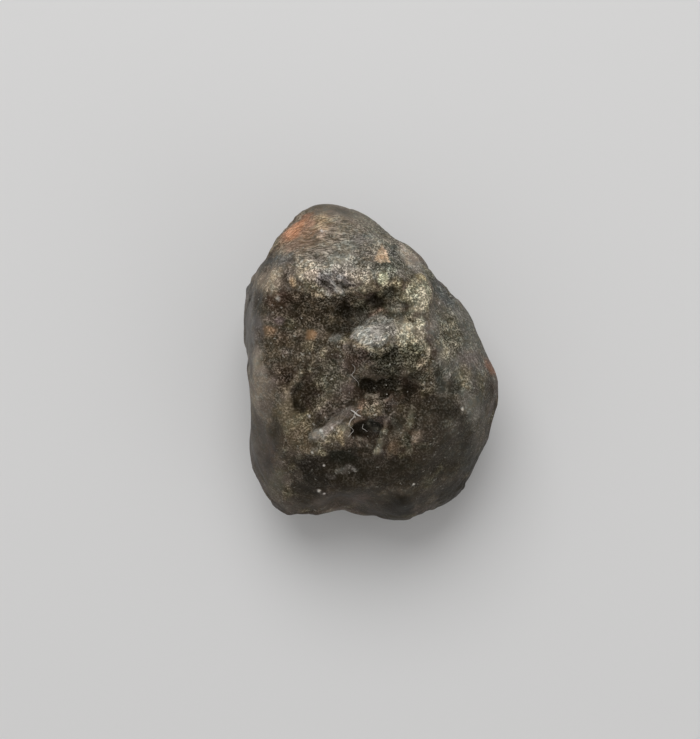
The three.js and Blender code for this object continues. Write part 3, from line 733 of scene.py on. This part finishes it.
class Looks:
    """Height, colour and grit of the stone's surface at each of its points."""

    def __init__(self, points, normals, view):
        self.points = points
        self.pixels = view.pixels(points)
        self.facing = normals @ view.back
        self.height = np.zeros(len(points))
        self.tint = np.tile(linear(UMBER), (len(points), 1))
        self.grit = np.full(len(points), 0.45)

    def waver(self, chosen, place, coarse, fine):
        """Noise that makes edges ragged, another for each place."""
        points = self.points[chosen]
        seed = 100 + int(3 * place[0] + 7 * place[1])
        waves = [noise(points, size, seed + 500 * i) for i, size in enumerate(RAGGED_WAVES)]
        return coarse * waves[0] + fine * waves[1]

    def add(self, chosen, weight, swell, shade, cover, grit, rise=0):
        """Paint the chosen points as far as weighted, and raise them by their part of the rise."""
        self.height[chosen] += swell * (rise / 1000)
        cover = (weight * (cover / 100))[:, None]
        self.tint[chosen] = self.tint[chosen] * (1 - cover) + linear(shade) * cover
        self.grit[chosen] += (grit / 100 - self.grit[chosen]) * cover[:, 0]

    def seen(self, chosen):
        return smoothstep(*SEEN, self.facing[chosen])

    def add_patch(self, x, y, half_width, half_height, shade, cover, grit, rise=0, turn=0):
        distance = ellipse(self.pixels, x, y, half_width, half_height, turn)
        near = distance < REACH
        ragged = distance[near] + self.waver(near, (x, y), *PATCH_WAVER)
        weight = self.seen(near) * smoothstep(*PATCH_COVER, ragged)
        swell = self.seen(near) * smoothstep(*PATCH_RISE, ragged)
        self.add(near, weight, swell, shade, cover, grit, rise)

    def add_facet(self, outline, *paint):
        near = close_to(self.pixels, outline, LINE_REACH)
        ragged = from_outline(self.pixels[near], outline)
        ragged += self.waver(near, outline[0], *FACET_WAVER)
        weight = self.seen(near) * smoothstep(*FACET_COVER, ragged)
        self.add(near, weight, self.seen(near) * smoothstep(*FACET_RISE, ragged), *paint)

    def add_stroke(self, route, half_width, *paint):
        near = close_to(self.pixels, route, LINE_REACH)
        ragged = from_route(self.pixels[near], route) + self.waver(near, route[0], *STROKE_WAVER)
        broken = np.clip(STROKE_FULLNESS + self.waver(near, route[-1], *STROKE_GAPS), 0, 1)
        weight = self.seen(near) * smoothstep(*STROKE_COVER, ragged / half_width) * broken
        self.add(near, weight, weight, *paint)

    def add_side_spot(self, centre, radius, *paint):
        distance = np.linalg.norm(self.points - centre, axis=1) / radius
        near = distance < REACH
        ragged = distance[near] + self.waver(near, centre, *SPOT_WAVER)
        self.add(near, smoothstep(*SPOT_COVER, ragged), smoothstep(*SPOT_RISE, ragged), *paint)


# What covers all of the crust, in turn: size across and seed of its noise, where in the noise it
# sets in and is full, then colour, cover and grit as for the patches.
CRUST_LAYERS = [
    ("worn skin", 1.1, 61, -0.35, 0.45, (104, 96, 84), 100, 40),
    ("dust", 0.6, 71, 0.1, 0.6, KHAKI, 70, 100),
    ("mauve skin", 0.8, 83, 0.2, 0.6, MAUVE, 50, 20),
]

# Where the outline swells or, with a height below 0, is flatter: azimuth anticlockwise from +X and
# elevation in degrees as seen from the stone's middle, radius in millimetres, height in micrometres.
SWELLINGS = [
    ("left shoulder", 159, -4, 0.75, 100),
    ("nose", 94, 0, 0.6, 60),
    ("right heel", 314, -9, 0.7, 90),
    ("right knob", 351, 2, 0.45, 60),
    ("left side", 168, -1, 0.4, 50),
    ("over left shoulder", 140, 6, 0.4, 60),
    ("lobe", 277, -8, 0.4, 60),
    ("under belt", 255, -6, 0.3, 50),
    ("right of lobe", 299, -6, 0.45, 70),
    ("waist right of nose", 50, 17, 0.5, -90),
    ("flat by rust", 122, 8, 0.5, -80),
    ("flat under left heel", 246, -6, 0.3, -70),
    ("flat right of lobe", 286, -7, 0.3, -70),
    ("flat over left heel's corner", 228, -6, 0.6, -60),
    ("left heel's corner", 240, -10, 0.35, 50),
]

# Spots on the sides and the underside: azimuth, elevation and radius as above, then colour, cover,
# grit and height as for the patches.
SIDE_SPOTS = [
    ("rust under nose", 116, -6, 0.24, RUST, 35, 50),
    ("rust lower on it", 124, -17, 0.3, RUST, 25, 50),
    ("brown of that rust", 121, -11, 0.5, UMBER, 30, 60),
    ("rust by right knob", 352, -14, 0.4, RUST, 45, 40),
    ("tan disc on left", 190, -12, 0.5, TAN, 70, 50, 30),
    ("grey skin on heel", 250, -20, 0.9, GREY, 60, 20),
    ("peach grain on heel", 292, -16, 0.16, PEACH, 80, 60, 20),
    ("olive lump on right", 25, -22, 0.6, OLIVE, 70, 90, 50),
    ("yellow grain on right", 48, -10, 0.18, YELLOW, 80, 80, 20),
    ("mauve skin under shoulder", 150, -30, 0.8, MAUVE, 70, 20),
    ("khaki dust under nose", 95, -32, 0.7, KHAKI, 60, 100, 20),
    ("ochre dust under left side", 205, -40, 0.8, OCHRE, 70, 90, 20),
    ("slate skin under right", 325, -38, 0.8, SLATE, 60, 20),
    ("rust on underside", 230, -66, 0.5, RUST, 60, 40),
    ("khaki on underside", 60, -70, 0.8, KHAKI, 60, 90),
]


def add_crust(looks):
    """Skin and dust all over the stone, then the swellings of its outline and the spots on its sides."""
    points = looks.points
    everywhere = np.ones(len(points), bool)
    for _, size, seed, low, high, *paint in CRUST_LAYERS:
        looks.add(everywhere, smoothstep(low, high, layered(points, size, seed)), 0, *paint)
    middle = points.mean(0)
    outward = (points - middle) / np.linalg.norm(points - middle, axis=1)[:, None]
    swellings = [(*place, UMBER, 0, 0, rise) for *place, rise in SWELLINGS]
    for _, azimuth, elevation, *rest in swellings + SIDE_SPOTS:
        a, e = math.radians(azimuth), math.radians(elevation)
        heading = np.array([math.cos(a) * math.cos(e), math.sin(a) * math.cos(e), math.sin(e)])
        looks.add_side_spot(points[np.argmax(outward @ heading)], *rest)


def roughness(points, grit):
    """The height of lumps and grains too many to place: strongest where the crust is gritty."""
    height = SWELLS[0] * layered(points, SWELLS[1], 3) * (0.4 + 0.6 * grit)
    height += RIDGES[0] * (ridged(points, RIDGES[1], 11) - 0.5) * grit
    height += LUMPS[0] * layered(points, LUMPS[1], 23) * grit**1.5
    height += GRAINS[0] * noise(points, GRAINS[1], 41) * (0.1 + grit)
    return height


def combed(points, pixels, view):
    """Coordinates squeezed along the streaks, and how strong the streaks are."""
    place = points.copy()
    strength = np.zeros(len(points))
    for _, x, y, half_width, half_height, turn, amount in STREAKS:
        distance = ellipse(pixels, x, y, half_width, half_height, turn)
        weight = amount * smoothstep(1.3, 0.6, distance)
        angle = math.radians(turn)
        along = view.right * math.cos(angle) + view.up * math.sin(angle)
        waved = points + STREAK_WAVE[0] * noise(points, STREAK_WAVE[1], 700)[:, None] * view.up
        turned = waved - STREAK_STRETCH * (waved @ along)[:, None] * along
        place = np.where((weight > strength)[:, None], turned, place)
        strength = np.maximum(weight, strength)
    return place, strength


def kept_inside(points, low, high):
    """Flatten what stands out of the solid's box, and keep the stone on the same flat."""
    middle, half = (low + high) / 2, (high - low) / 2
    away = np.abs(points - middle)
    over = np.maximum(away - (half - BOX_MARGIN), 0)
    away = np.where(over > 0, half - BOX_MARGIN * np.exp(-over / BOX_MARGIN), away)
    inside = middle + np.sign(points - middle) * away
    inside[:, 2] = np.where(points[:, 2] < middle[2], np.maximum(points[:, 2], low[2]), inside[:, 2])
    return inside


def make_stone(solid, view):
    """The stone's fine mesh: its points, triangles, and what its material needs to know."""
    points, triangles = welded(solid)
    low, high = points.min(0), points.max(0)
    for _ in range(SUBDIVISIONS):
        points, triangles = subdivided(points, triangles)
    edges, _ = edges_of(triangles)
    points = smoothed(points, edges, SMOOTHING_ROUNDS, SMOOTHING_STEPS)
    normals = normals_of(points, triangles)

    looks = Looks(points, normals, view)
    add_crust(looks)
    for _, *rest in PATCHES:
        looks.add_patch(*rest)
    for _, *rest in FACETS:
        looks.add_facet(*rest)
    for _, *rest in STROKES:
        looks.add_stroke(*rest)
    tint, grit = looks.tint, looks.grit
    comb, streak = combed(points, looks.pixels, view)

    level_ground = SIDE_RELIEF + (1 - SIDE_RELIEF) * smoothstep(0.3, 0.7, np.abs(normals[:, 2]))
    height = looks.height + roughness(points, grit) * (1 - STREAK_CALM * streak) * level_ground
    grounded = smoothstep(0.0, GROUND_MARGIN, points[:, 2])
    points = points + normals * (height * grounded)[:, None]
    points = kept_inside(points, low, high)

    # Dust lies on what stands up, and hollows get painted shade; so do the sides and the underside.
    normals = normals_of(points, triangles)
    level = smoothed(points, edges, LEVEL_ROUNDS, SMOOTHING_STEPS[:1])
    proud = np.sum((points - level) * normals, axis=1) / PROUD_HEIGHT
    proud = np.clip(proud, -PROUD_LIMIT, PROUD_LIMIT)
    # Lighter with dust on what stands up, and darker with painted shade in hollows.
    tint = tint * np.exp(DUST_AND_HOLLOW_SHADE_CONTRAST * proud * (0.2 + grit))[:, None]
    mottle = layered(points, MOTTLE_SIZE, 801) * (1.1 - grit)
    tint = tint * np.exp(MOTTLE_CONTRAST * mottle)[:, None]
    # Painted shade: the sides and the underside are painted darker than the top.
    upward = smoothstep(*UPWARD, normals[:, 2])
    tint = tint * (PAINTED_SIDE_SHADE + (1 - PAINTED_SIDE_SHADE) * upward)[:, None]
    # Grains painted near white: partly pale grains, partly painted glints.
    for x, y, radius in GRAINS_AND_PAINTED_GLINTS:
        away = np.hypot(looks.pixels[:, 0] - x, looks.pixels[:, 1] - y) * PIXEL_SIZE
        weight = looks.seen(slice(None)) * smoothstep(*GRAIN_COVER, away / (radius / 1000))
        tint = tint * (1 - weight[:, None]) + linear(GRAIN_AND_GLINT_WHITE) * weight[:, None]
        grit = grit * (1 - weight)
    return points, triangles, {"tint": tint, "grit": grit, "streak": streak, "comb": comb * MM}


def mesh_from(name, points, triangles, layers=None):
    mesh = bpy.data.meshes.new(name)
    mesh.from_pydata((points * MM).tolist(), [], triangles.tolist())
    for layer, values in (layers or {}).items():
        kind, part = "FLOAT", "value"
        if layer == "comb":
            kind, part = "FLOAT_VECTOR", "vector"
        elif layer == "tint":
            kind, part = "FLOAT_COLOR", "color"
            values = np.concatenate([values, np.ones((len(values), 1))], 1)
        attribute = mesh.attributes.new(layer, kind, "POINT")
        attribute.data.foreach_set(part, values.astype(np.float32).ravel())
    mesh.shade_smooth()
    mesh.update()
    return mesh


# ---- Materials ----
class Shader:
    """A material's node tree, with short calls for the nodes used here."""

    def __init__(self, name):
        self.material = bpy.data.materials.new(name)
        self.material.use_nodes = True
        self.tree = self.material.node_tree
        self.surface = self.tree.nodes["Principled BSDF"]

    def node(self, kind, settings=None, **inputs):
        node = self.tree.nodes.new("ShaderNode" + kind)
        for name, value in (settings or {}).items():
            setattr(node, name, value)
        for name, value in inputs.items():
            self.feed(node.inputs[name.replace("_", " ")], value)
        return node

    def feed(self, socket, value):
        if isinstance(value, bpy.types.NodeSocket):
            self.tree.links.new(value, socket)
        else:
            socket.default_value = value

    def set(self, name, value):
        self.feed(self.surface.inputs[name], value)

    def layer(self, name, output="Fac"):
        return self.node("Attribute", {"attribute_name": name}).outputs[output]

    def math(self, operation, *values):
        node = self.node("Math", {"operation": operation})
        for socket, value in zip(node.inputs, values):
            self.feed(socket, value)
        return node.outputs[0]

    def mixed(self, factor, first, second):
        """A number between two others."""
        node = self.node("Mix", {"data_type": "FLOAT"})
        for i, value in enumerate((factor, first, second)):
            self.feed(node.inputs[i if i == 0 else i + 1], value)
        return node.outputs[0]

    def vector(self, operation, first, second):
        node = self.node("VectorMath", {"operation": operation})
        self.feed(node.inputs[0], first)
        self.feed(node.inputs["Scale" if operation == "SCALE" else 1], second)
        return node.outputs[0]

    def mix(self, factor, first, second, blend="MIX"):
        node = self.node("Mix", {"data_type": "RGBA", "blend_type": blend})
        self.feed(node.inputs[0], factor)
        self.feed(node.inputs[6], first)
        self.feed(node.inputs[7], second)
        return node.outputs[2]

    def ranged(self, value, low, high, out_low=0.0, out_high=1.0):
        """A value that goes smoothly from out_low, at low, to out_high, at high."""
        node = self.node("MapRange", {"interpolation_type": "SMOOTHSTEP"})
        for i, part in enumerate((value, low, high, out_low, out_high)):
            self.feed(node.inputs[i], part)
        return node.outputs[0]

    def noise(self, size, detail, roughness, vector):
        """Noise from 0 to 1, in waves of the given size in millimetres."""
        scale = 1 / (size * MM)
        node = self.node("TexNoise", Scale=scale, Detail=detail, Roughness=roughness, Vector=vector)
        return node.outputs["Fac"]

    def specks(self, vector, size, detail, roughness, *limits):
        """Noise cut to specks. The limits are those that ranged takes."""
        return self.ranged(self.noise(size, detail, roughness, vector), *limits)


def crust_material():
    shader = Shader("weathered_crust")
    here = shader.node("TexCoord").outputs["Object"]
    tint = shader.layer("tint", "Color")
    grit = shader.layer("grit")
    streak = shader.layer("streak")
    comb = shader.layer("comb", "Vector")

    # Specks of dust: fine flecks, bigger flakes, curls, and cells that are each lighter or darker.
    flecks = shader.specks(here, *FLECKS)
    flakes = shader.specks(here, *FLAKES)
    curl = shader.math("ABSOLUTE", shader.math("SUBTRACT", shader.noise(CURL, 1, 0.5, here), 0.5))
    curls = shader.math("MULTIPLY", shader.ranged(curl, 0.0, CURL_WIDTH, 1.0, 0.0), flecks)
    cells = shader.node("TexVoronoi", Scale=1 / (CELL * MM), Vector=here)
    cell = shader.node("SeparateColor", Color=cells.outputs["Color"])
    lit = shader.math("MULTIPLY_ADD", cell.outputs[0], 0.8, 0.3)
    clumps = shader.specks(here, *CLUMPS)
    dust = shader.math("MULTIPLY", flecks, lit)
    dust = shader.math("MULTIPLY_ADD", curls, 0.3, dust)
    dust = shader.math("MULTIPLY", dust, clumps)
    dust = shader.math("MULTIPLY_ADD", flakes, shader.math("MULTIPLY_ADD", flecks, 0.4, 0.1), dust)
    lines = shader.specks(comb, *LINES)
    dust = shader.mixed(streak, dust, lines)

    # Bare ground between the specks, and the specks' own drifting colours.
    drift = shader.specks(here, *DRIFT)
    broad = shader.specks(here, *BROAD_DRIFT)
    warmth = shader.mix(broad, shader.mix(drift, COOL, WARM), PINKISH)
    painted = shader.mix(1.0, tint, warmth, "MULTIPLY")
    darkened = shader.math("MULTIPLY_ADD", grit, -GROUND_DARKNESS, 1.0)
    ground = shader.vector("SCALE", painted, darkened)
    lightened = shader.math("MULTIPLY_ADD", grit, SPECK_LIGHTNESS, 1.0)
    specks = shader.vector("SCALE", painted, lightened)
    haze = shader.vector("SCALE", HAZE, grit)
    specks = shader.mix(1.0, specks, haze, "ADD")
    grey = shader.node("RGBToBW", Color=specks).outputs[0]
    specks = shader.mix(SPECK_GREYNESS, specks, grey)
    shade = shader.mix(dust, ground, specks)
    glint = shader.math("GREATER_THAN", cell.outputs[1], GLINT_FREE)
    glint = shader.math("MULTIPLY", shader.math("MULTIPLY", glint, flecks), grit)
    shade = shader.mix(glint, shade, GLINT)
    browned = shader.vector("ADD", shade, BROWNING)
    shader.set("Base Color", shader.vector("MAXIMUM", browned, DARKEST))

    shader.set("Roughness", shader.ranged(grit, 0.0, 0.8, SKIN_ROUGHNESS, GRIT_ROUGHNESS))
    shader.set("Specular IOR Level", shader.ranged(grit, 0.0, 0.8, SKIN_GLOSS, GRIT_GLOSS))
    relief = shader.math("MULTIPLY", dust, shader.math("MULTIPLY_ADD", grit, 0.9, 0.1))
    bump = shader.node("Bump", Strength=1.0, Distance=SPECK_HEIGHT * MM, Height=relief)
    shader.set("Normal", bump.outputs[0])
    return shader.material


def plain_material(name, shade, roughness):
    shader = Shader(name)
    shader.set("Base Color", (*shade, 1))
    shader.set("Roughness", roughness)
    return shader.material


# ---- Cotton fibres ----
FIBRE_RADIUS = 0.0055
FIBRE_SIDES = 6
FIBRE_STEP = 0.02
COTTON = (0.55, 0.52, 0.48)
# Each fibre's thickness next to FIBRE_RADIUS, and its route: x, y in pixels of the frame, and height
# over the stone in millimetres.
FIBRES = [
    ("knot", 3.4, [(351, 410, 0.02), (355, 412, 0.06), (358, 414, 0.06), (361, 416, 0.02)]),
    ("long strand", 1.5, [(356, 413, 0.06), (354, 417, 0.07), (352, 420, 0.06), (349, 426, 0.04)]),
    ("long strand's end", 0.8,
     [(349, 425, 0.04), (351, 429, 0.06), (350, 433, 0.04), (348, 437, 0.03)]),
    ("knot's branch", 0.9, [(360, 410, 0.03), (358, 411, 0.06), (357, 413, 0.05)]),
    ("pit's strand", 1.2, [(362, 420, 0.1), (362, 424, 0.14), (363, 427, 0.12), (365, 431, 0.1)]),
    ("middle strand", 0.9,
     [(352, 364, 0.02), (355, 366, 0.04), (355, 370, 0.03), (352, 374, 0.04), (354, 378, 0.05),
      (357, 382, 0.04), (358, 386, 0.02)]),
]


def smooth_route(stops):
    """A Catmull-Rom curve through the stops, in steps of about FIBRE_STEP."""
    stops = np.array([2 * stops[0] - stops[1], *stops, 2 * stops[-1] - stops[-2]])
    route = []
    for i in range(1, len(stops) - 2):
        before, start, end, after = stops[i - 1 : i + 3]
        steps = max(2, int(np.linalg.norm(end - start) / FIBRE_STEP))
        bend = 2 * before - 5 * start + 4 * end - after
        twist = 3 * start - before - 3 * end + after
        for t in np.arange(steps) / steps:
            route.append(0.5 * (2 * start + (end - before) * t + bend * t**2 + twist * t**3))
    route.append(stops[-2])
    return np.array(route)


def tube(route, radius):
    """A thin closed tube along a route, tapered to its ends."""
    rings, triangles = [], []
    along = np.gradient(route, axis=0)
    side = np.array([0.3, 0.2, 1.0])
    for i, place in enumerate(route):
        forward = unit(along[i])
        across = unit(np.cross(forward, side))
        over = np.cross(across, forward)
        taper = math.sin(math.pi * (i + 0.6) / (len(route) + 0.2)) ** 0.3
        for turn in np.arange(FIBRE_SIDES) * 2 * math.pi / FIBRE_SIDES:
            rings.append(place + radius * taper * (math.cos(turn) * across + math.sin(turn) * over))
    for i in range(len(route) - 1):
        for j in range(FIBRE_SIDES):
            a = i * FIBRE_SIDES + j
            b = i * FIBRE_SIDES + (j + 1) % FIBRE_SIDES
            triangles += [(a, b, a + FIBRE_SIDES), (b, b + FIBRE_SIDES, a + FIBRE_SIDES)]
    last = (len(route) - 1) * FIBRE_SIDES
    for j in range(1, FIBRE_SIDES - 1):
        triangles.append((0, j + 1, j))
        triangles.append((last, last + j, last + j + 1))
    return np.array(rings), np.array(triangles)


def fibres_mesh(points, triangles, view):
    """All the cotton fibres as one mesh, each lying on the stone."""
    surface = BVHTree.FromPolygons(points.tolist(), triangles.tolist())
    all_points, all_triangles, count = [], [], 0
    for _, thickness, stops in FIBRES:
        route = []
        for x, y, rise in stops:
            hit, normal, _, _ = surface.ray_cast(Vector(view.place), Vector(view.ray(x, y)))
            route.append(np.array(hit) + np.array(normal) * rise)
        rings, faces = tube(smooth_route(route), FIBRE_RADIUS * thickness)
        all_points.append(rings)
        all_triangles.append(faces + count)
        count += len(rings)
    return mesh_from("cotton_fibres", np.concatenate(all_points), np.concatenate(all_triangles))


# ---- Surroundings ----
FLOOR_SIZE = 400.0
FLOOR_SHADE = (0.72, 0.72, 0.72)
LIGHTS = {
    "key": {"from": (-0.08, 0.5, 0.855), "distance": 90.0, "size": 74.0, "power": 0.041},
    "fill": {"from": (0.65, -0.6, 0.46), "distance": 90.0, "size": 80.0, "power": 0.007},
}
SKY = (1.0, 0.99, 0.98)
SKY_STRENGTH = 0.46


def add_object(name, data):
    made = bpy.data.objects.new(name, data)
    bpy.context.scene.collection.objects.link(made)
    return made


def add_floor():
    half = FLOOR_SIZE / 2
    corners = np.array([(-half, -half, 0), (half, -half, 0), (half, half, 0), (-half, half, 0)])
    floor = add_object("floor", mesh_from("floor", corners, np.array([(0, 1, 2), (0, 2, 3)])))
    floor.data.materials.append(plain_material("floor", FLOOR_SHADE, 0.9))


def add_lights():
    for name, light in LIGHTS.items():
        data = bpy.data.lights.new(name, "AREA")
        data.shape = "DISK"
        data.size = light["size"] * MM
        data.energy = light["power"]
        lamp = add_object(name, data)
        towards = Vector(light["from"]).normalized()
        lamp.location = towards * light["distance"] * MM
        lamp.rotation_euler = towards.to_track_quat("Z", "Y").to_euler()
    world = bpy.data.worlds.new("world")
    world.use_nodes = True
    background = world.node_tree.nodes["Background"]
    background.inputs["Color"].default_value = (*SKY, 1)
    background.inputs["Strength"].default_value = SKY_STRENGTH
    bpy.context.scene.world = world


def main():
    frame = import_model()
    view = View()
    view.add_camera()

    points, triangles, layers = make_stone(frame["nodes"]["stone"].data, view)
    stone = add_object("stone_surface", mesh_from("stone_surface", points, triangles, layers))
    stone.data.materials.append(crust_material())
    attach(stone, "root")
    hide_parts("stone")

    fibres = add_object("cotton_fibres", fibres_mesh(points, triangles, view))
    fibres.data.materials.append(plain_material("cotton", COTTON, 0.7))
    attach(fibres, "root")

    add_floor()
    add_lights()
    bpy.context.scene.view_settings.view_transform = "Standard"


main()
